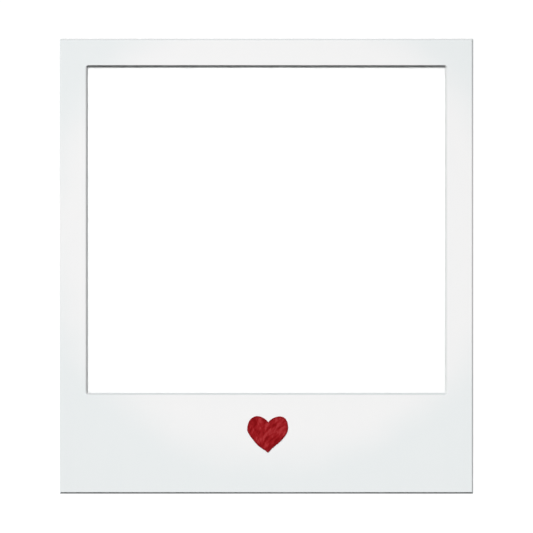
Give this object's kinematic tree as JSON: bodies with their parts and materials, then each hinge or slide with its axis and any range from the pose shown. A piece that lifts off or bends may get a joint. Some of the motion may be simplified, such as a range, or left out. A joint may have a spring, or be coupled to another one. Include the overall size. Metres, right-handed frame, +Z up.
{
  "type": "picture frame",
  "caption": "Desk and wall picture frame shaped like an instant print: a glazed square window over a wide border with a heart, a back held by turn buttons, a folding leg and a hanging ring.",
  "frame": {"origin": "on the table, below the middle of the whole frame with its leg open", "axes": "+X to the right of someone facing the picture, +Y away from them, through the frame to the leg, +Z up"},
  "size_m": [0.11, 0.0428, 0.1184],
  "materials": {
    "white_moulding": "satin",
    "heart_red": "matte",
    "clear_acrylic": "polished",
    "print_paper": "satin",
    "corrugated_card": "matte",
    "hardboard": "matte",
    "zinc_steel": "satin",
    "brass_plate": "gloss",
    "pad_rubber": "matte"
  },
  "bodies": {
    "frame": {"front_bezel": "white_moulding", "heart_sticker": "heart_red", "glazing": "clear_acrylic", "photo_print": "print_paper", "filler_card": "corrugated_card", "back_panel": "hardboard", "turn_screw_left": "zinc_steel", "turn_screw_right": "zinc_steel", "hinge_plate": "zinc_steel", "hinge_pin": "zinc_steel", "plate_rivet_left": "zinc_steel", "plate_rivet_right": "zinc_steel", "hanger_strap": "zinc_steel", "hanger_rivet": "zinc_steel", "foot_pad_left": "pad_rubber", "foot_pad_right": "pad_rubber"},
    "leg": {"easel_leg": "hardboard", "hinge_leaf": "zinc_steel", "leg_rivet_left": "zinc_steel", "leg_rivet_right": "zinc_steel"},
    "button_left": {"turn_button_left": "zinc_steel"},
    "button_right": {"turn_button_right": "zinc_steel"},
    "ring": {"hanger_ring": "brass_plate"}
  },
  "joints": [
    {"name": "leg_fold", "type": "hinge", "parent": "frame", "child": "leg", "pos_m": [0, 0.00758, 0.07422], "axis": [1, 0, 0], "range_deg": [-24, 0]},
    {"name": "turn_left", "type": "hinge", "parent": "frame", "child": "button_left", "pos_m": [-0.036, -0.01014, 0.00793], "axis": [0, 0.9703, -0.2419], "range_deg": [-90, 90]},
    {"name": "turn_right", "type": "hinge", "parent": "frame", "child": "button_right", "pos_m": [0.036, -0.01014, 0.00793], "axis": [0, 0.9703, -0.2419], "range_deg": [-90, 90]},
    {"name": "ring_swing", "type": "hinge", "parent": "frame", "child": "ring", "pos_m": [0, 0.0142, 0.10142], "axis": [1, 0, 0], "range_deg": [-13.5, 165]}
  ]
}
